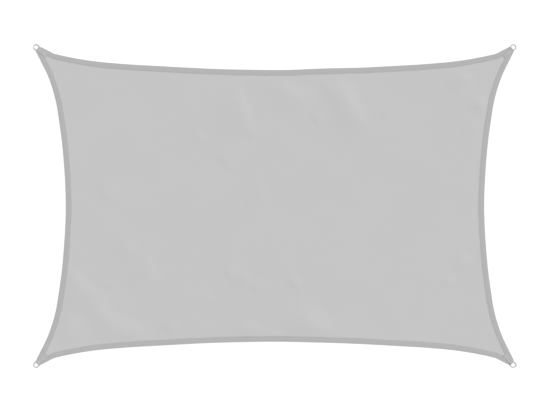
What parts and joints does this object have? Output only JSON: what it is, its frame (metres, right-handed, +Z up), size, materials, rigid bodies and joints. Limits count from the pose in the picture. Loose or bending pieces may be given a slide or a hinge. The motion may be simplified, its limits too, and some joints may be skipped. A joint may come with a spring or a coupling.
{
  "type": "shade sail",
  "caption": "Flat rectangular shade sail with hollow-cut hemmed sides and a metal D-ring on a webbing loop at each corner.",
  "frame": {"origin": "middle of the sail's box, at the level of the surface that it lies on", "axes": "+X along the long side, +Y along the short side, +Z up out of the face that shows the folded hem"},
  "size_m": [3, 2.009, 0.0086],
  "materials": {
    "cloth": "matt light grey woven polyester cloth, doubled and a little darker at the hem",
    "webbing": "matt grey woven polyester webbing",
    "ring_steel": "smooth satin stainless steel wire"
  },
  "bodies": {
    "root": {"sail_cloth": "cloth", "webbing_loop_far_left": "webbing", "webbing_loop_far_right": "webbing", "webbing_loop_near_right": "webbing", "webbing_loop_near_left": "webbing", "d_ring_far_left": "ring_steel", "d_ring_far_right": "ring_steel", "d_ring_near_right": "ring_steel", "d_ring_near_left": "ring_steel"}
  },
  "joints": []
}
